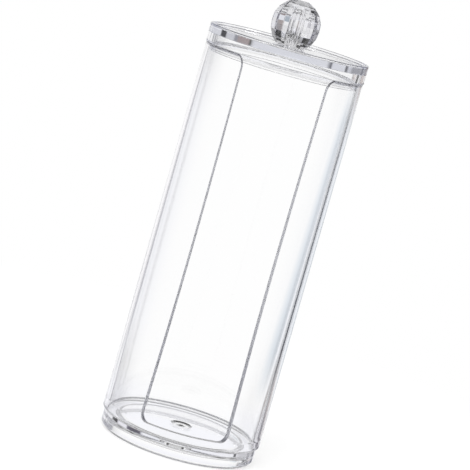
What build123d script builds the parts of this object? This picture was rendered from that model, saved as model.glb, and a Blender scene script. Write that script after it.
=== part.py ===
from build123d import *
from math import cos, pi, sin
import os

# Cotton pad storage box in clear moulded plastic: a tall round jar with an open front slot,
# a plug-in lid and a faceted ball knob. Millimetres, +Z up, origin under the middle of the foot.

# Jar: heights are measured from the surface that it stands on
jar_height = 170.0
rim_radius = 34.2
rim_wall = 1.55
wall_draft = 0.8
bore_draft = 0.15
floor_height = 7.6
floor_thickness = 3.2
floor_cove = 0.4
step_height = 7.4
step_width = 1.1
step_edge_radius = 0.75
step_root_radius = 0.25
foot_wall = 5.7
foot_edge_radius = 1.6
foot_inner_edge_radius = 0.4
foot_root_radius = 1.8
rim_edge_radius = 0.6

# Gate well in the middle of the floor, where the plastic was let into the mould
gate_well_radius = 4.8
gate_well_depth = 0.45
gate_stub_radius = 0.9
gate_stub_height = 0.3

# Front slot: it runs from a low sill up through the rim, with a slight waist at mid height.
# Its half widths are those at the outside of the wall, and its sides face the jar's axis.
slot_sill_height = 11.8
slot_waist_half_width = 17.7
slot_sill_flare = 1.5
slot_rim_flare = 0.9
slot_corner_radius = 4.2
slot_shoulder_radius = 5.2

# Lid: a thick plate with a shallow dish in its top, over a ring that steps down into the bore
lid_overhang = 0.35
lid_height = 8.1
plate_thickness = 3.7
dish_rim = 1.6
dish_depth = 1.1
plug_depth = 3.0
plug_clearance = 0.35
plug_wall = 1.4
lid_edge_radius = 0.6
dish_edge_radius = 0.4
lid_shoulder_radius = 0.5
plug_edge_radius = 0.4
lid_root_radius = 0.3

# Knob: a faceted ball on the floor of the dish, glued over a peg on the lid
knob_radius = 10.2
knob_columns = 16
knob_ring_shares = [
    (0.62, -0.95),
    (0.84, -0.70),
    (0.98, -0.40),
    (1.03, -0.08),
    (1.01, 0.24),
    (0.87, 0.55),
    (0.60, 0.82),
    (0.28, 0.98),
]
knob_hole_depth = 12.0
peg_radius = 1.7
peg_height = 5.0
peg_tip_chamfer = 0.3
glue_gap = 0.08

# How far every cut runs past the faces that it opens
overrun = 5.0

# Sizes shared by pieces that meet
bore_rim_radius = rim_radius - rim_wall
bore_floor_radius = bore_rim_radius - bore_draft
wall_foot_radius = rim_radius + wall_draft
foot_radius = wall_foot_radius - step_width
foot_inner_radius = foot_radius - foot_wall
floor_underside = floor_height - floor_thickness
lid_radius = rim_radius + lid_overhang
lid_top = jar_height + lid_height
plate_underside = lid_top - plate_thickness
plug_radius = bore_rim_radius - plug_clearance
plug_inner_radius = plug_radius - plug_wall
plug_bottom = jar_height - plug_depth
dish_radius = lid_radius - dish_rim
dish_floor = lid_top - dish_depth
slot_sill_half_width = slot_waist_half_width + slot_sill_flare
slot_rim_half_width = slot_waist_half_width + slot_rim_flare
slot_edge_depth = (rim_radius ** 2 - slot_waist_half_width ** 2) ** 0.5

# Cylinders stand on their place, or hang down from it
stand_up = (Align.CENTER, Align.CENTER, Align.MIN)
hang_down = (Align.CENTER, Align.CENTER, Align.MAX)


def corner(face, radius_at, height_at):
    """The vertex of a section that stands at a radius and a height."""
    return face.vertices().sort_by_distance((radius_at, height_at, 0))[0]


def rounded(face, edge_radii):
    """A section with each listed corner, given as radius and height, rounded off."""
    for radius_at, height_at, edge_radius in edge_radii:
        face = fillet(corner(face, radius_at, height_at), edge_radius)
    return face


def turned(points, edge_radii):
    """The solid that a section of radius and height points makes when turned about the Z axis."""
    section = rounded(make_face(Polyline(*points, close=True)), edge_radii)
    return revolve(Plane.XZ * section, Axis.Z)


def slot_half_outline(share):
    """Right half of the slot from the front, sill to above the rim, with its width times a share."""
    sill_half_width = slot_sill_half_width * share
    rim_half_width = slot_rim_half_width * share
    sill = Line((0, slot_sill_height), (sill_half_width, slot_sill_height))
    middle = (slot_waist_half_width * share, (slot_sill_height + jar_height) / 2)
    side = ThreePointArc(sill @ 1, middle, (rim_half_width, jar_height))
    shoulder_half_width = rim_half_width + slot_shoulder_radius
    shoulder = Line(side @ 1, (shoulder_half_width, jar_height))
    above = jar_height + overrun
    top = Polyline(shoulder @ 1, (shoulder_half_width, above), (0, above), sill @ 0)
    half = make_face([sill, side, shoulder, top])
    half = fillet(corner(half, rim_half_width, jar_height), slot_shoulder_radius)
    return fillet(corner(half, sill_half_width, slot_sill_height), slot_corner_radius)


def slot_cutter():
    """A wedge that narrows towards the axis, from half way out in the bore to clear of the wall."""
    sections = []
    for depth in (bore_rim_radius / 2, wall_foot_radius + overrun):
        half = slot_half_outline(depth / slot_edge_depth)
        sections.append(Plane.XZ.offset(depth) * half)
    half_cutter = loft(sections, ruled=True)
    return half_cutter + mirror(half_cutter, Plane.YZ)


def make_jar():
    body = turned(
        [
            (0, floor_underside),
            (foot_inner_radius, floor_underside),
            (foot_inner_radius, 0),
            (foot_radius, 0),
            (foot_radius, step_height),
            (wall_foot_radius, step_height),
            (rim_radius, jar_height),
            (bore_rim_radius, jar_height),
            (bore_floor_radius, floor_height),
            (0, floor_height),
        ],
        [
            (foot_inner_radius, floor_underside, foot_root_radius),
            (foot_inner_radius, 0, foot_inner_edge_radius),
            (foot_radius, 0, foot_edge_radius),
            (foot_radius, step_height, step_root_radius),
            (wall_foot_radius, step_height, step_edge_radius),
            (rim_radius, jar_height, rim_edge_radius),
            (bore_rim_radius, jar_height, rim_edge_radius),
            (bore_floor_radius, floor_height, floor_cove),
        ],
    )
    body -= slot_cutter()
    gate_bottom = floor_height - gate_well_depth
    body -= Pos(0, 0, floor_height) * Cylinder(gate_well_radius, gate_well_depth, align=hang_down)
    return body + Pos(0, 0, gate_bottom) * Cylinder(gate_stub_radius, gate_stub_height, align=stand_up)


def make_lid():
    body = turned(
        [
            (0, plate_underside),
            (plug_inner_radius, plate_underside),
            (plug_inner_radius, plug_bottom),
            (plug_radius, plug_bottom),
            (plug_radius, jar_height),
            (lid_radius, jar_height),
            (lid_radius, lid_top),
            (dish_radius, lid_top),
            (dish_radius, dish_floor),
            (0, dish_floor),
        ],
        [
            (plug_inner_radius, plate_underside, lid_root_radius),
            (plug_inner_radius, plug_bottom, plug_edge_radius),
            (plug_radius, plug_bottom, plug_edge_radius),
            (lid_radius, jar_height, lid_shoulder_radius),
            (lid_radius, lid_top, lid_edge_radius),
            (dish_radius, lid_top, dish_edge_radius),
            (dish_radius, dish_floor, dish_edge_radius),
        ],
    )
    peg = Cylinder(peg_radius, peg_height, align=stand_up)
    peg = chamfer(peg.edges().sort_by(Axis.Z)[-1], peg_tip_chamfer)
    return body + Pos(0, 0, dish_floor) * peg


def knob_rings():
    """Corner radius and height above the ball's middle of each ring of corners, from the bottom up."""
    return [(knob_radius * across, knob_radius * up) for across, up in knob_ring_shares]


def ring_corners(radius, height):
    step = 2 * pi / knob_columns
    angles = [(column + 0.5) * step for column in range(knob_columns)]
    return [Vector(radius * cos(angle), radius * sin(angle), height) for angle in angles]


def make_knob():
    rings = [ring_corners(radius, height) for radius, height in knob_rings()]
    faces = [Face(Wire.make_polygon(rings[0])), Face(Wire.make_polygon(rings[-1]))]
    for lower, upper in zip(rings, rings[1:]):
        for column in range(knob_columns):
            after = (column + 1) % knob_columns
            facet = [lower[column], lower[after], upper[after], upper[column]]
            faces.append(Face(Wire.make_polygon(facet)))
    ball = Solid(Shell(faces))
    base = rings[0][0].Z
    hole_radius = peg_radius + glue_gap
    hole = Cylinder(hole_radius, knob_hole_depth, align=stand_up)
    hole += Pos(0, 0, knob_hole_depth) * Sphere(hole_radius)
    return Pos(0, 0, dish_floor - base) * (ball - Pos(0, 0, base) * hole)


os.makedirs("parts", exist_ok=True)
pieces = {"jar": make_jar(), "lid": make_lid(), "knob": make_knob()}
for name, piece in pieces.items():
    export_step(piece, f"parts/{name}.step")
    print(name, "volume", round(piece.volume), "mm3")
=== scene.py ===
import bpy
import bmesh
from math import atan, atan2, cos, hypot, pi, radians, sin, sqrt
from mathutils import Matrix, Vector


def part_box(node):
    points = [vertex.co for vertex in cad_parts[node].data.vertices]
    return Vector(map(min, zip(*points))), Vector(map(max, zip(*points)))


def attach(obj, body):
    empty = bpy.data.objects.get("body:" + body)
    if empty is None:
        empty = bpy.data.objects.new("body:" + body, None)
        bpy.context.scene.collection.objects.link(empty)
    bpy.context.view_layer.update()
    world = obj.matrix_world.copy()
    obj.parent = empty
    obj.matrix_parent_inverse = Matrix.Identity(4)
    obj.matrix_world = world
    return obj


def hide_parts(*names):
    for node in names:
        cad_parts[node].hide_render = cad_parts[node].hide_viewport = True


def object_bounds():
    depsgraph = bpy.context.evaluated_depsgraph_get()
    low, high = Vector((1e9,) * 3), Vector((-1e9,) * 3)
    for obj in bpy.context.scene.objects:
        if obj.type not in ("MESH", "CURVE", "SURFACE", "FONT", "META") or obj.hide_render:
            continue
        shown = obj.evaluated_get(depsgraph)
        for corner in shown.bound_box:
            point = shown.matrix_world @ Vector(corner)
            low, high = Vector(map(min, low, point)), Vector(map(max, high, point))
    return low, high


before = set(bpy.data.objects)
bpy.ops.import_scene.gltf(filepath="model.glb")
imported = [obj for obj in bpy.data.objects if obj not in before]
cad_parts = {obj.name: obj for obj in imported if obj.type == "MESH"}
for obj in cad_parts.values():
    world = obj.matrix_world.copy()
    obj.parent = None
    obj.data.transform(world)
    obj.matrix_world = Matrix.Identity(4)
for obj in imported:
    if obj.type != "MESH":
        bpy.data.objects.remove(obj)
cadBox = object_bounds()
scene = bpy.context.scene
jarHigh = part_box("jar")[1]
lidLow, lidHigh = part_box("lid")
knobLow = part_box("knob")[0]
hair = 0.00003  # air left between pieces that touch, so no two clear faces coincide
sliver = 1e-7  # points closer than this are one
ringReach = 1e-6  # how near a point lies to the ring that it belongs to
print("frame loaded:", ", ".join(sorted(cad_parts)))


# Shared mesh helpers
def spinSection(points, segments):
    bm = bmesh.new()
    verts = [bm.verts.new((0, -radius, height)) for radius, height in points]
    edges = [bm.edges.new(pair) for pair in zip(verts, verts[1:])]
    bmesh.ops.spin(bm, geom=verts + edges, cent=(0, 0, 0), axis=(0, 0, 1), angle=2 * pi,
                   steps=segments, use_merge=True)
    bmesh.ops.remove_doubles(bm, verts=bm.verts[:], dist=sliver)
    bmesh.ops.recalc_face_normals(bm, faces=bm.faces[:])
    return bm


def radiusOf(vert):
    return hypot(vert.co.x, vert.co.y)


def onRing(vert, radius, height):
    return abs(radiusOf(vert) - radius) < ringReach and abs(vert.co.z - height) < ringReach


def bevelEdges(bm, edges, size, segments):
    bmesh.ops.bevel(bm, geom=edges, offset=size, offset_type="OFFSET", segments=segments, profile=0.5,
                    affect="EDGES", clamp_overlap=True, material=-1)


def roundRing(bm, radius, height, size, segments):
    edges = [e for e in bm.edges if all(onRing(v, radius, height) for v in e.verts)]
    bevelEdges(bm, edges, size, segments)


def finishPiece(bm, name, body, node, material):
    mesh = bpy.data.meshes.new(name)
    for face in bm.faces:
        face.smooth = True
    bm.to_mesh(mesh)
    bm.free()
    piece = bpy.data.objects.new(name, mesh)
    scene.collection.objects.link(piece)
    mesh.materials.append(material)
    areaNormals = piece.modifiers.new("areaNormals", "WEIGHTED_NORMAL")
    areaNormals.mode = "FACE_AREA"  # broad faces stay flat beside their rounded edges
    areaNormals.weight = 100
    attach(piece, body)
    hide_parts(node)
    print(name, "built with", len(mesh.polygons), "faces")


# Shared node helpers
def feedSockets(links, sockets, values):
    for socket, value in zip(sockets, values):
        if isinstance(value, bpy.types.NodeSocket):
            links.new(value, socket)
        else:
            socket.default_value = value


def mathNode(nodes, links, operation, *values):
    node = nodes.new("ShaderNodeMath")
    node.operation = operation
    feedSockets(links, node.inputs, values)
    return node.outputs["Value"]


def vectorNode(nodes, links, operation, result, *values):
    node = nodes.new("ShaderNodeVectorMath")
    node.operation = operation
    feedSockets(links, node.inputs, values)
    return node.outputs[result]


def mixColours(nodes, links, share, first, second):
    node = nodes.new("ShaderNodeMixRGB")
    feedSockets(links, node.inputs, (share, first, second))
    return node.outputs["Color"]


def rangeNode(nodes, links, value, low, high, newLow=0, newHigh=1):
    node = nodes.new("ShaderNodeMapRange")
    sockets = [node.inputs[name] for name in ("Value", "From Min", "From Max", "To Min", "To Max")]
    feedSockets(links, sockets, (value, low, high, newLow, newHigh))
    return node.outputs["Result"]


# Finishes
edgeZones = {  # where edges are dulled and darkened with painted shade, in metres, and how their faces look
    "sideLook": (0.7, 0.3),  # from faces that look in, out, up or down to those that look round the jar
    "topLook": (0.25, 0.6),  # from faces that look level to those that look up
    "topFoot": 0.010,  # a face below this height is no top
    "frontDepth": (0.016, 0),  # tops and the rim's painted shade fade in from back to front
    "ringRadius": (0.0319, 0.0322),  # rounded edges get painted shade from here outwards
    "ringShare": 4,  # brings the painted shade of a face that looks half up to 1
    "lidJoint": (0.1685, 0.0045),  # height and half depth of the joint, where rounded edges get no painted shade
    "rimBand": (0.1695, 0.0005),  # height and half depth of the front of the rim, darkened with painted shade
    "rimBore": 0.0325,  # which is all that lies further out than this
    "rimShare": 0.8,
}
mouldMarks = {
    "flowStretch": (1, 1, 0.35),  # flow runs up the mould
    "rippleDetail": 1,
    "markDetail": 4,
    "wornRange": (0.52, 0.8),  # noise from which handling breaks the polish, and at which it is gone
}
markSockets = {  # inputs of the node group, and the values of a finish that they take
    "Ripple Scale": "rippleScale",
    "Mark Scale": "markScale",
    "Polish": "polish",
    "Wear": "wear",
    "Dull": "dull",
    "Edge Tint": "paintedEdgeShade",
}
clearFinish = {
    "refraction": 1.55,
    "tint": (0.79, 0.795, 0.84, 1),  # what is left of white after a long way through the plastic
    "density": 7.0,
    # painted shade: a dark base colour on the rounded outer edges and on the front of the rim under the lid
    "paintedEdgeShade": (0.3, 0.3, 0.33, 1),
    "rippleScale": 45.0,
    "rippleHeight": 0.00002,
    "markScale": 700.0,
    "polish": 0.0,
    "wear": 0.02,
    "dull": 0.45,
}
lidFinish = {  # a broad plate cools into a wavier face than the wall, and is bluer seen from its edge
    "tint": (0.786, 0.80, 0.868, 1),
    "density": 17.0,
    "rippleScale": 110.0,
    "rippleHeight": 0.00006,
    "dull": 0.03,
}
crystalFinish = {
    "refraction": 1.57,
    "tint": (0.86, 0.86, 0.88, 1),
    "density": 60.0,
    # painted edge shade: white, so the knob gets none
    "paintedEdgeShade": (1, 1, 1, 1),
    "rippleScale": 160.0,
    "rippleHeight": 0.000004,
    "markScale": 1500.0,
    "polish": 0.0,
    "wear": 0.015,
    "dull": 0.0,
}


def edgeMasks(nodes, links, place):
    # one roughness mask for the sides of the slot and the tops at the front, one painted shade mask for
    # rounded outer edges and the rim
    def calc(operation, *values):
        return mathNode(nodes, links, operation, *values)

    def fade(value, zone):
        return rangeNode(nodes, links, value, *edgeZones[zone])

    facing = nodes.new("ShaderNodeNewGeometry").outputs["Normal"]
    look = nodes.new("ShaderNodeSeparateXYZ")
    where = nodes.new("ShaderNodeSeparateXYZ")
    links.new(facing, look.inputs["Vector"])
    links.new(place, where.inputs["Vector"])
    up, height = look.outputs["Z"], where.outputs["Z"]
    level = vectorNode(nodes, links, "MULTIPLY", "Vector", place, (1, 1, 0))
    radius = vectorNode(nodes, links, "LENGTH", "Value", level)
    outward = vectorNode(nodes, links, "NORMALIZE", "Vector", level)
    across = vectorNode(nodes, links, "DOT_PRODUCT", "Value", outward, facing)
    steep = calc("POWER", up, 2)
    front = fade(where.outputs["Y"], "frontDepth")
    sides = fade(calc("ADD", calc("POWER", across, 2), steep), "sideLook")
    aboveFloor = calc("GREATER_THAN", height, edgeZones["topFoot"])
    tops = calc("MULTIPLY", fade(up, "topLook"), calc("MULTIPLY", front, aboveFloor))
    # painted shade mask: rounded outer edges away from the lid joint, and the front of the rim
    slant = calc("MULTIPLY", calc("SUBTRACT", 1, steep), steep)  # most on faces that look half up
    apart = calc("SUBTRACT", 1, calc("COMPARE", height, *edgeZones["lidJoint"]))
    rings = calc("MULTIPLY", slant, calc("MULTIPLY", apart, edgeZones["ringShare"]))
    rings = calc("MULTIPLY", rings, fade(radius, "ringRadius"))
    rim = calc("MULTIPLY", calc("COMPARE", height, *edgeZones["rimBand"]),
               calc("GREATER_THAN", radius, edgeZones["rimBore"]))
    rimFront = calc("MULTIPLY", calc("MULTIPLY", front, edgeZones["rimShare"]), rim)
    return calc("MAXIMUM", sides, tops), calc("MAXIMUM", rings, rimFront)


def addSockets(group, way, kind, *names):
    for name in names:
        group.interface.new_socket(name=name, in_out=way, socket_type=kind)


def mouldMarksAndEdgeShade():
    # faint flow ripple, fine handling marks and the polish they break, dulled edges, and painted shade on
    # rounded outer edges and the front of the rim
    group = bpy.data.node_groups.new("mouldMarksAndEdgeShade", "ShaderNodeTree")
    addSockets(group, "INPUT", "NodeSocketFloat", "Ripple Scale", "Mark Scale", "Polish", "Wear", "Dull")
    addSockets(group, "INPUT", "NodeSocketColor", "Edge Tint")
    addSockets(group, "OUTPUT", "NodeSocketColor", "Base Color")
    addSockets(group, "OUTPUT", "NodeSocketFloat", "Roughness", "Height")
    nodes, links = group.nodes, group.links
    inputs, outputs = nodes.new("NodeGroupInput").outputs, nodes.new("NodeGroupOutput").inputs
    place = nodes.new("ShaderNodeTexCoord").outputs["Object"]
    stretch = nodes.new("ShaderNodeMapping")
    stretch.inputs["Scale"].default_value = mouldMarks["flowStretch"]
    ripple = nodes.new("ShaderNodeTexNoise")
    ripple.inputs["Detail"].default_value = mouldMarks["rippleDetail"]
    marks = nodes.new("ShaderNodeTexNoise")
    marks.inputs["Detail"].default_value = mouldMarks["markDetail"]
    links.new(place, stretch.inputs["Vector"])
    links.new(stretch.outputs["Vector"], ripple.inputs["Vector"])
    links.new(stretch.outputs["Vector"], marks.inputs["Vector"])
    links.new(inputs["Ripple Scale"], ripple.inputs["Scale"])
    links.new(inputs["Mark Scale"], marks.inputs["Scale"])
    worn = rangeNode(nodes, links, marks.outputs["Fac"], *mouldMarks["wornRange"],
                     inputs["Polish"], inputs["Wear"])
    dullEdges, shadedEdges = edgeMasks(nodes, links, place)
    dulled = mathNode(nodes, links, "MULTIPLY", dullEdges, inputs["Dull"])
    # painted shade: the masked edges darken the base colour
    edgeShadedColour = mixColours(nodes, links, shadedEdges, (1, 1, 1, 1), inputs["Edge Tint"])
    links.new(edgeShadedColour, outputs["Base Color"])
    links.new(mathNode(nodes, links, "ADD", worn, dulled), outputs["Roughness"])
    links.new(ripple.outputs["Fac"], outputs["Height"])
    return group


def clearPlastic(name, finish, group):
    material = bpy.data.materials.new(name)
    material.use_nodes = True
    nodes, links = material.node_tree.nodes, material.node_tree.links
    shader = nodes["Principled BSDF"]
    shader.inputs["Transmission Weight"].default_value = 1
    shader.inputs["IOR"].default_value = finish["refraction"]
    marks = nodes.new("ShaderNodeGroup")
    marks.node_tree = group
    for socket, value in markSockets.items():
        marks.inputs[socket].default_value = finish[value]
    bump = nodes.new("ShaderNodeBump")
    bump.inputs["Distance"].default_value = finish["rippleHeight"]
    absorb = nodes.new("ShaderNodeVolumeAbsorption")
    absorb.inputs["Color"].default_value = finish["tint"]
    absorb.inputs["Density"].default_value = finish["density"]
    links.new(marks.outputs["Base Color"], shader.inputs["Base Color"])
    links.new(marks.outputs["Roughness"], shader.inputs["Roughness"])
    links.new(marks.outputs["Height"], bump.inputs["Height"])
    links.new(bump.outputs["Normal"], shader.inputs["Normal"])
    links.new(absorb.outputs["Volume"], nodes["Material Output"].inputs["Volume"])
    return material


marksAndShadeGroup = mouldMarksAndEdgeShade()
clearMaterial = clearPlastic("clearPlastic", clearFinish, marksAndShadeGroup)
lidMaterial = clearPlastic("lidPlastic", {**clearFinish, **lidFinish}, marksAndShadeGroup)
crystalMaterial = clearPlastic("crystalPlastic", crystalFinish, marksAndShadeGroup)
print("finishes ready")

# Jar
jar = {
    "segments": 192,
    "slotColumns": 17,  # columns from the middle of the slot to its edge
    "columnSlack": 1e-4,  # radians by which a point may miss its column
    "sideRows": 14,
    "cornerRows": 8,
    "rimRadius": 0.0342,
    "rimWall": 0.00155,
    "boreDraft": 0.00015,
    "floorHeight": 0.0076,
    "floorThickness": 0.0032,
    "cove": 0.0004,
    "stepHeight": 0.0074,
    "stepWidth": 0.0011,
    "stepEdge": 0.00075,
    "stepRoot": 0.00025,
    "footWall": 0.0057,
    "footEdge": 0.0016,
    "footInnerEdge": 0.0004,
    "footRoot": 0.0018,
    "gateRadius": 0.0048,
    "gateDepth": 0.00045,
    "stubRadius": 0.0009,
    "stubHeight": 0.0003,
    "sillHeight": 0.0118,
    "sillHalfWidth": 0.0192,
    "waistHalfWidth": 0.0177,
    "rimHalfWidth": 0.0186,
    "slotCorner": 0.0042,
    "slotShoulder": 0.0052,
    "edgeRound": 0.0006,
    "edgeSegments": 4,
    "sharpFrom": 40,  # degrees between two faces beside the slot whose edge is rounded
    "ringSegments": 6,
}


def slotSide(height):
    # half width of the slot without its rounded ends
    middle = (jar["sillHeight"] + jarHigh.z) / 2
    share = (height - middle) / (jarHigh.z - middle)
    end = jar["rimHalfWidth"] if share > 0 else jar["sillHalfWidth"]
    return jar["waistHalfWidth"] + (end - jar["waistHalfWidth"]) * share * share


def slotHalfWidth(height):
    corner, shoulder = jar["slotCorner"], jar["slotShoulder"]
    cornerTop, shoulderFoot = jar["sillHeight"] + corner, jarHigh.z - shoulder
    if height < cornerTop:
        drop = min(cornerTop - height, corner)
        return slotSide(cornerTop) - corner + sqrt(corner * corner - drop * drop)
    if height > shoulderFoot:
        rise = min(height - shoulderFoot, shoulder)
        return slotSide(shoulderFoot) + shoulder - sqrt(shoulder * shoulder - rise * rise)
    return slotSide(height)


def slotRows():
    # heights of the rows of wall beside the slot, close together where its outline turns
    quarter = [k * pi / 2 / jar["cornerRows"] for k in range(jar["cornerRows"] + 1)]
    low = [jar["sillHeight"] + jar["slotCorner"] * (1 - cos(a)) for a in quarter]
    high = [jarHigh.z - jar["slotShoulder"] + jar["slotShoulder"] * sin(a) for a in quarter]
    span = (high[0] - low[-1]) / jar["sideRows"]
    return low + [low[-1] + span * k for k in range(1, jar["sideRows"])] + high


def jarSection():
    wallFoot = jarHigh.x
    foot = wallFoot - jar["stepWidth"]
    footInner = foot - jar["footWall"]
    underside = jar["floorHeight"] - jar["floorThickness"]
    gateFloor = jar["floorHeight"] - jar["gateDepth"]
    stubTop = gateFloor + jar["stubHeight"]
    bore = jar["rimRadius"] - jar["rimWall"]
    boreFloor = bore - jar["boreDraft"]

    def outer(height):
        share = (height - jar["stepHeight"]) / (jarHigh.z - jar["stepHeight"])
        return wallFoot + (jar["rimRadius"] - wallFoot) * share

    def inner(height):
        share = (height - jar["floorHeight"]) / (jarHigh.z - jar["floorHeight"])
        return boreFloor + (bore - boreFloor) * share

    rows = slotRows()
    points = [(0, underside), (footInner, underside), (footInner, 0), (foot, 0), (foot, jar["stepHeight"])]
    points += [(wallFoot, jar["stepHeight"])]
    points += [(outer(height), height) for height in rows]
    points += [(inner(height), height) for height in reversed(rows)]
    points += [(boreFloor, jar["floorHeight"]), (jar["gateRadius"], jar["floorHeight"])]
    points += [(jar["gateRadius"], gateFloor), (jar["stubRadius"], gateFloor)]
    points += [(jar["stubRadius"], stubTop), (0, stubTop)]
    rounds = [
        (footInner, underside, jar["footRoot"]),
        (footInner, 0, jar["footInnerEdge"]),
        (foot, 0, jar["footEdge"]),
        (foot, jar["stepHeight"], jar["stepRoot"]),
        (wallFoot, jar["stepHeight"], jar["stepEdge"]),
        (boreFloor, jar["floorHeight"], jar["cove"]),
    ]
    return points, rounds


def openSlot(bm):
    openAngle = 2 * pi * jar["slotColumns"] / jar["segments"]
    floorOfSlot = jar["sillHeight"] - sliver
    midWall = jar["rimRadius"] - jar["rimWall"] / 2
    edgeDepth = sqrt(jar["rimRadius"] ** 2 - jar["waistHalfWidth"] ** 2)

    def turn(vert):
        return atan2(vert.co.x, -vert.co.y)

    def inSlot(vert):
        return vert.co.z > floorOfSlot and abs(turn(vert)) < openAngle + jar["columnSlack"]

    inside = [f for f in bm.faces if all(inSlot(v) for v in f.verts)]
    bmesh.ops.delete(bm, geom=inside, context="FACES")
    for vert in bm.verts:  # slide the columns so that one of them follows the slot's edge
        if vert.co.z < floorOfSlot:
            continue
        radius = radiusOf(vert)
        edge = atan(slotHalfWidth(vert.co.z) / edgeDepth)  # the cut faces the jar's axis
        way, side = abs(turn(vert)), 1 if vert.co.x >= 0 else -1
        past = edge + (way - openAngle) * (pi - edge) / (pi - openAngle)
        angle = side * (way * edge / openAngle if way < openAngle else past)
        vert.co.x, vert.co.y = radius * sin(angle), -radius * cos(angle)
    rim = [e for e in bm.edges if e.is_boundary]
    outside = [e for e in rim if all(radiusOf(v) > midWall for v in e.verts)]
    within = [e for e in rim if all(radiusOf(v) < midWall for v in e.verts)]
    bmesh.ops.bridge_loops(bm, edges=outside + within)
    bmesh.ops.recalc_face_normals(bm, faces=bm.faces[:])
    corners = [e for e in bm.edges if len(e.link_faces) == 2 and all(v.co.z > floorOfSlot for v in e.verts)]
    sharp = [e for e in corners if e.calc_face_angle() > radians(jar["sharpFrom"])]
    bevelEdges(bm, sharp, jar["edgeRound"], jar["edgeSegments"])


def buildJar():
    points, rounds = jarSection()
    bm = spinSection(points, jar["segments"])
    openSlot(bm)
    for radius, height, size in rounds:
        roundRing(bm, radius, height, size, jar["ringSegments"])
    finishPiece(bm, "jarShell", "jar", "jar", clearMaterial)


# Lid
lid = {
    "segments": 192,
    "radius": lidHigh.x,
    "top": 0.1781,
    "plate": 0.0037,
    "plugClearance": 0.00035,
    "plugWall": 0.0014,
    "topEdge": 0.0006,
    "shoulderEdge": 0.0005,
    "plugEdge": 0.0004,
    "root": 0.0003,
    "dishRim": 0.0016,
    "dishDepth": 0.0011,
    "dishEdge": 0.0004,
    "edgeSegments": 4,
    "pegRadius": 0.0017,
    "pegTip": 0.0003,
    "tipSegments": 1,  # a plain chamfer
}


def buildLid():
    plugRadius = jar["rimRadius"] - jar["rimWall"] - lid["plugClearance"]
    plugInner = plugRadius - lid["plugWall"]
    under = lid["top"] - lid["plate"]
    shoulder = jarHigh.z + hair
    dishRadius = lid["radius"] - lid["dishRim"]
    dishFloor = lid["top"] - lid["dishDepth"]
    points = [
        (0, under), (plugInner, under), (plugInner, lidLow.z), (plugRadius, lidLow.z), (plugRadius, shoulder),
        (lid["radius"], shoulder), (lid["radius"], lid["top"]), (dishRadius, lid["top"]),
        (dishRadius, dishFloor), (lid["pegRadius"], dishFloor), (lid["pegRadius"], lidHigh.z), (0, lidHigh.z),
    ]
    rounds = [
        (plugInner, under, lid["root"]),
        (plugInner, lidLow.z, lid["plugEdge"]),
        (plugRadius, lidLow.z, lid["plugEdge"]),
        (lid["radius"], shoulder, lid["shoulderEdge"]),
        (lid["radius"], lid["top"], lid["topEdge"]),
        (dishRadius, lid["top"], lid["dishEdge"]),
        (dishRadius, dishFloor, lid["dishEdge"]),
    ]
    bm = spinSection(points, lid["segments"])
    for radius, height, size in rounds:
        roundRing(bm, radius, height, size, lid["edgeSegments"])
    roundRing(bm, lid["pegRadius"], lidHigh.z, lid["pegTip"], lid["tipSegments"])
    finishPiece(bm, "lidPlate", "lid", "lid", lidMaterial)


# Knob
knob = {
    "radius": 0.0102,
    "columns": 16,
    "ringShares": [  # how far out and how far up each ring of corners is, in radii of the ball
        (0.62, -0.95), (0.84, -0.70), (0.98, -0.40), (1.03, -0.08),
        (1.01, 0.24), (0.87, 0.55), (0.60, 0.82), (0.28, 0.98),
    ],
    "glueGap": 0.00008,
    "holeDepth": 0.012,
    "holeSegments": 36,
    "domeSteps": 6,
    "edgeRound": 0.00012,
    "edgeSegments": 2,
}


def growRing(bm, edges):
    made = bmesh.ops.extrude_edge_only(bm, edges=edges)["geom"]  # a new ring out of the last one
    newEdges = [g for g in made if isinstance(g, bmesh.types.BMEdge)]
    newVerts = [g for g in made if isinstance(g, bmesh.types.BMVert)]
    return newEdges, newVerts


def placeRing(bm, verts, width, height, newWidth, newHeight):
    bmesh.ops.scale(bm, vec=(newWidth / width, newWidth / width, 1), verts=verts)
    bmesh.ops.translate(bm, vec=(0, 0, newHeight - height), verts=verts)
    return newWidth, newHeight


def buildKnob():
    middle = knobLow.z - knob["radius"] * knob["ringShares"][0][1]
    rings = [(knob["radius"] * across, middle + knob["radius"] * up) for across, up in knob["ringShares"]]
    rings[0] = (rings[0][0], knobLow.z + hair)
    bm = bmesh.new()
    halfColumn = Matrix.Rotation(pi / knob["columns"], 4, "Z")
    verts = bmesh.ops.create_circle(bm, segments=knob["columns"], radius=1, matrix=halfColumn)["verts"]
    edges = bm.edges[:]
    width, height = placeRing(bm, verts, 1, 0, *rings[0])
    for ring in rings[1:]:
        edges, verts = growRing(bm, edges)
        width, height = placeRing(bm, verts, width, height, *ring)
    bmesh.ops.edgeloop_fill(bm, edges=edges)
    bevelEdges(bm, [e for e in bm.edges if not e.is_boundary], knob["edgeRound"], knob["edgeSegments"])
    baseEdges = [e for e in bm.edges if e.is_boundary]
    holeRadius = lid["pegRadius"] + knob["glueGap"]
    width, height = holeRadius, rings[0][1]
    place = Matrix.Translation((0, 0, height))
    bmesh.ops.create_circle(bm, segments=knob["holeSegments"], radius=width, matrix=place)
    edges = [e for e in bm.edges if e.is_wire]
    bmesh.ops.bridge_loops(bm, edges=baseEdges + edges)
    for step in range(knob["domeSteps"]):  # straight up, then over in a dome
        angle = step * pi / 2 / knob["domeSteps"]
        edges, verts = growRing(bm, edges)
        top = knobLow.z + knob["holeDepth"] + holeRadius * sin(angle)
        width, height = placeRing(bm, verts, width, height, holeRadius * cos(angle), top)
    bmesh.ops.edgeloop_fill(bm, edges=edges)
    bmesh.ops.recalc_face_normals(bm, faces=bm.faces[:])
    finishPiece(bm, "knobBall", "lid", "knob", crystalMaterial)


buildJar()
buildLid()
buildKnob()

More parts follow.
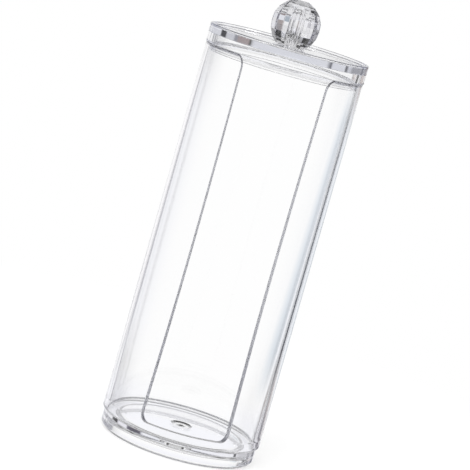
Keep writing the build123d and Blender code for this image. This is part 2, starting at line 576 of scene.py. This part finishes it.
# Camera: a little above the lid and left of the slot, tipped so that the box leans as in the picture
cameraView = {
    "turn": 2.95,
    "distance": 0.909,
    "height": 0.2326,
    "aim": (-0.0002, 0, 0.0935),
    "roll": 15.97,
    "lens": 165.4,
    "sensor": 36.0,
}


def buildCamera():
    camera = bpy.data.objects.new("photoCamera", bpy.data.cameras.new("photoCamera"))
    camera.data.lens = cameraView["lens"]
    camera.data.sensor_width = cameraView["sensor"]
    turn, distance = radians(cameraView["turn"]), cameraView["distance"]
    place = Vector((-distance * sin(turn), -distance * cos(turn), cameraView["height"]))
    look = (Vector(cameraView["aim"]) - place).to_track_quat("-Z", "Y").to_matrix().to_4x4()
    roll = Matrix.Rotation(radians(cameraView["roll"]), 4, "Z")
    camera.matrix_world = Matrix.Translation(place) @ look @ roll
    scene.collection.objects.link(camera)
    scene.camera = camera


# Studio: a pale floor, a white panel behind the box, darker screens and walls round it, two soft lamps
studio = {
    "floorSize": 6.0,
    "floorColour": (0.9, 0.9, 0.9, 1),
    "floorRoughness": 0.9,
    "shadowShare": 0.35,  # how much of the floor beside the box takes its shadow, the rest is plain white
    "shadowReach": (0.08, 0.30),
    "bounces": 160,  # light runs round inside the wall to the slot's edges
    "throughBounces": 64,
}
# angle to the right from straight behind the box, the colour of the screens there and how far they cover
screens = {
    "high": [  # as the lid sees them
        (-180, (0.40, 0.40, 0.43), 0),
        (-95, (0.40, 0.40, 0.43), 0),
        (-80, (0.06, 0.06, 0.07), 1),
        (-70, (0.06, 0.06, 0.07), 1),
        (-66, (0.26, 0.26, 0.28), 1),
        (-44, (0.36, 0.36, 0.38), 1),
        (-42, (0.70, 0.70, 0.72), 1),
        (-39, (0.80, 0.80, 0.82), 1),
        (-37.5, (0.06, 0.06, 0.07), 1),
        (-36.2, (0.06, 0.06, 0.07), 1),
        (-35.8, (0.95, 0.95, 0.96), 1),
        (-25, (0.97, 0.97, 0.98), 1),
        (-24.4, (0.08, 0.08, 0.10), 1),
        (-22.8, (0.08, 0.08, 0.10), 1),
        (-22.2, (1.0, 1.0, 1.0), 1),
        (18.2, (1.0, 1.0, 1.0), 1),
        (18.6, (0.06, 0.055, 0.04), 1),
        (20.0, (0.06, 0.055, 0.04), 1),
        (20.4, (0.47, 0.38, 0.35), 1),
        (28.6, (0.42, 0.34, 0.32), 1),
        (29.0, (0.34, 0.34, 0.36), 1),
        (31.2, (0.34, 0.34, 0.36), 1),
        (31.6, (0.80, 0.80, 0.81), 1),
        (40.4, (0.80, 0.80, 0.81), 1),
        (40.8, (0.002, 0.002, 0.003), 1),
        (46.6, (0.002, 0.002, 0.003), 1),
        (47.0, (1.0, 1.0, 1.0), 1),
        (78, (1.0, 1.0, 1.0), 1),
        (92, (0.30, 0.30, 0.33), 0),
        (180, (0.40, 0.40, 0.43), 0),
    ],
    "low": [  # as the wall does
        (-180, (0.80, 0.81, 0.86), 0),
        (-95, (0.80, 0.81, 0.86), 0),
        (-66, (0.70, 0.71, 0.76), 1),
        (-38, (0.88, 0.89, 0.94), 1),
        (-37, (0.38, 0.38, 0.41), 1),
        (-30.2, (0.38, 0.38, 0.41), 1),
        (-29.4, (0.99, 0.98, 1.0), 1),
        (-14, (0.99, 0.98, 1.0), 1),
        (-9, (0.985, 0.985, 1.0), 1),
        (-5, (1.0, 1.0, 1.0), 1),
        (7, (1.0, 1.0, 1.0), 1),
        (9.5, (0.70, 0.76, 0.82), 1),
        (13.4, (0.38, 0.44, 0.50), 1),
        (14.4, (0.38, 0.44, 0.50), 1),
        (15.4, (0.88, 0.90, 0.94), 1),
        (31.6, (0.85, 0.87, 0.92), 1),
        (32.4, (0.03, 0.035, 0.05), 1),
        (44, (0.03, 0.035, 0.05), 1),
        (45, (0.90, 0.91, 0.95), 1),
        (92, (0.90, 0.91, 0.95), 0),
        (180, (0.80, 0.81, 0.86), 0),
    ],
    "foot": [  # as the foot does
        (-180, (0.40, 0.40, 0.43), 0),
        (-95, (0.40, 0.40, 0.43), 0),
        (-80, (0.10, 0.10, 0.11), 1),
        (-70, (0.10, 0.10, 0.11), 1),
        (-66, (0.50, 0.50, 0.52), 1),
        (-43, (0.62, 0.62, 0.65), 1),
        (-42, (0.92, 0.91, 0.95), 1),
        (-41, (0.02, 0.02, 0.03), 1),
        (-38.6, (0.02, 0.02, 0.03), 1),
        (-38, (0.93, 0.93, 0.97), 1),
        (-4, (0.94, 0.945, 0.99), 1),
        (19.5, (0.94, 0.945, 0.99), 1),
        (20.2, (0.09, 0.08, 0.12), 1),
        (25, (0.04, 0.035, 0.06), 1),
        (31, (0.10, 0.09, 0.13), 1),
        (31.8, (0.88, 0.87, 0.92), 1),
        (42, (0.88, 0.87, 0.92), 1),
        (42.8, (0.002, 0.002, 0.004), 1),
        (51, (0.002, 0.002, 0.004), 1),
        (51.8, (0.92, 0.92, 0.95), 1),
        (78, (0.90, 0.91, 0.95), 1),
        (92, (0.30, 0.30, 0.33), 0),
        (180, (0.40, 0.40, 0.43), 0),
    ],
}
# angle above the horizon and a grey, or a share, there
heights = {
    "footShare": [(-90, 1), (-13.9, 1), (-13.5, 0), (9, 0), (10, 1), (90, 1)],  # foot screens before the rest
    "highShare": [(-90, 1), (-13.0, 1), (-12.4, 0), (-5.5, 0), (-4.3, 1), (90, 1)],  # high before low
    "screenShare": [  # all of them before the wall behind
        (-90, 0), (-16.2, 0), (-15.4, 1), (0, 1), (3, 0.8), (6, 0.8), (10, 1), (17, 1), (19, 0), (90, 0),
    ],
    "behind": [  # ground, wall and a bright ceiling
        (-90, 0.6), (-56, 0.6), (-53, 0.05), (-40, 0.05), (-36, 0.95), (-3, 0.95), (1, 0.3), (8, 0.01),
        (29, 0.01), (30, 0.7), (36, 0.7), (37, 0.01), (47, 0.01), (48, 0.7), (90, 0.7),
    ],
    "front": [
        (-90, 0.6), (-56, 0.6), (-53, 0.05), (-40, 0.05), (-36, 0.95), (-3, 0.95), (1, 0.9), (34, 0.9),
        (35, 0.05), (47, 0.05), (48, 0.9), (90, 0.9),
    ],
}
lamps = {
    "overhead": {"place": (-0.3, -0.4, 1.1), "size": 0.6, "power": 9.0},
    "side": {"place": (0.9, -0.5, 0.5), "size": 0.5, "power": 4.0},
}


def buildFloor():
    bm = bmesh.new()
    bmesh.ops.create_grid(bm, x_segments=1, y_segments=1, size=studio["floorSize"] / 2)
    mesh = bpy.data.meshes.new("studioFloor")
    bm.to_mesh(mesh)
    bm.free()
    floor = bpy.data.objects.new("studioFloor", mesh)
    scene.collection.objects.link(floor)
    material = bpy.data.materials.new("paleFloor")
    material.use_nodes = True
    nodes, links = material.node_tree.nodes, material.node_tree.links
    shader = nodes["Principled BSDF"]
    shader.inputs["Base Color"].default_value = studio["floorColour"]
    shader.inputs["Roughness"].default_value = studio["floorRoughness"]
    shader.inputs["Specular IOR Level"].default_value = 0
    glow = nodes.new("ShaderNodeEmission")
    place = nodes.new("ShaderNodeTexCoord").outputs["Object"]
    away = vectorNode(nodes, links, "LENGTH", "Value", place)
    plain = rangeNode(nodes, links, away, *studio["shadowReach"], 1 - studio["shadowShare"])
    blend = nodes.new("ShaderNodeMixShader")
    feedSockets(links, blend.inputs, (plain, shader.outputs["BSDF"], glow.outputs["Emission"]))
    links.new(blend.outputs["Shader"], nodes["Material Output"].inputs["Surface"])
    mesh.materials.append(material)
    floor.location.z = -hair
    floor.visible_transmission = False  # clear plastic looks through to the room instead
    floor.visible_glossy = False


def angleRamp(nodes, links, angle, stops, span, middle=0):
    # colours along an angle in degrees: each stop has a grey level, or a colour and a cover
    ramp = nodes.new("ShaderNodeValToRGB")
    marks = ramp.color_ramp.elements
    for k, (turn, *look) in enumerate(stops):
        mark = marks[k] if k < 2 else marks.new((turn + span) / (2 * span))
        mark.position = (turn + span) / (2 * span)
        mark.color = (*look[0], look[1]) if len(look) > 1 else (look[0], look[0], look[0], 1)
    along = rangeNode(nodes, links, angle, radians(middle - span), radians(middle + span))
    links.new(along, ramp.inputs["Fac"])
    return ramp.outputs["Color"], ramp.outputs["Alpha"]


def buildRoom():
    world = bpy.data.worlds.new("studioRoom")
    scene.world = world
    world.use_nodes = True
    nodes, links = world.node_tree.nodes, world.node_tree.links
    way = nodes.new("ShaderNodeTexCoord").outputs["Generated"]
    split = nodes.new("ShaderNodeSeparateXYZ")
    links.new(way, split.inputs["Vector"])
    around = mathNode(nodes, links, "ARCTAN2", split.outputs["X"], split.outputs["Y"])
    above = mathNode(nodes, links, "ARCSINE", split.outputs["Z"])

    def roundTheBox(name):
        return angleRamp(nodes, links, around, screens[name], 180, cameraView["turn"])

    def upAndDown(name):
        return angleRamp(nodes, links, above, heights[name], 90)[0]

    low, cover = roundTheBox("low")
    shown = mixColours(nodes, links, upAndDown("highShare"), low, roundTheBox("high")[0])
    shown = mixColours(nodes, links, upAndDown("footShare"), shown, roundTheBox("foot")[0])
    behind = mixColours(nodes, links, upAndDown("screenShare"), upAndDown("behind"), shown)
    walls = mixColours(nodes, links, cover, upAndDown("front"), behind)
    path = nodes.new("ShaderNodeLightPath")
    plain = mathNode(nodes, links, "MAXIMUM", path.outputs["Is Camera Ray"], path.outputs["Is Diffuse Ray"])
    links.new(mixColours(nodes, links, plain, walls, (1, 1, 1, 1)), nodes["Background"].inputs["Color"])


def buildLamps():
    aim = (cadBox[0] + cadBox[1]) / 2
    for name, lamp in lamps.items():
        light = bpy.data.lights.new(name, "AREA")
        light.size = lamp["size"]
        light.energy = lamp["power"]
        holder = bpy.data.objects.new(name, light)
        holder.location = lamp["place"]
        holder.rotation_euler = (aim - holder.location).to_track_quat("-Z", "Y").to_euler()
        holder.visible_transmission = False  # the lamps only light the floor and gleam on the outside
        scene.collection.objects.link(holder)


buildFloor()
buildRoom()
buildLamps()
buildCamera()
scene.view_settings.view_transform = "Standard"
scene.cycles.max_bounces = studio["bounces"]
scene.cycles.transmission_bounces = studio["throughBounces"]
scene.cycles.glossy_bounces = studio["bounces"]
print("studio ready")
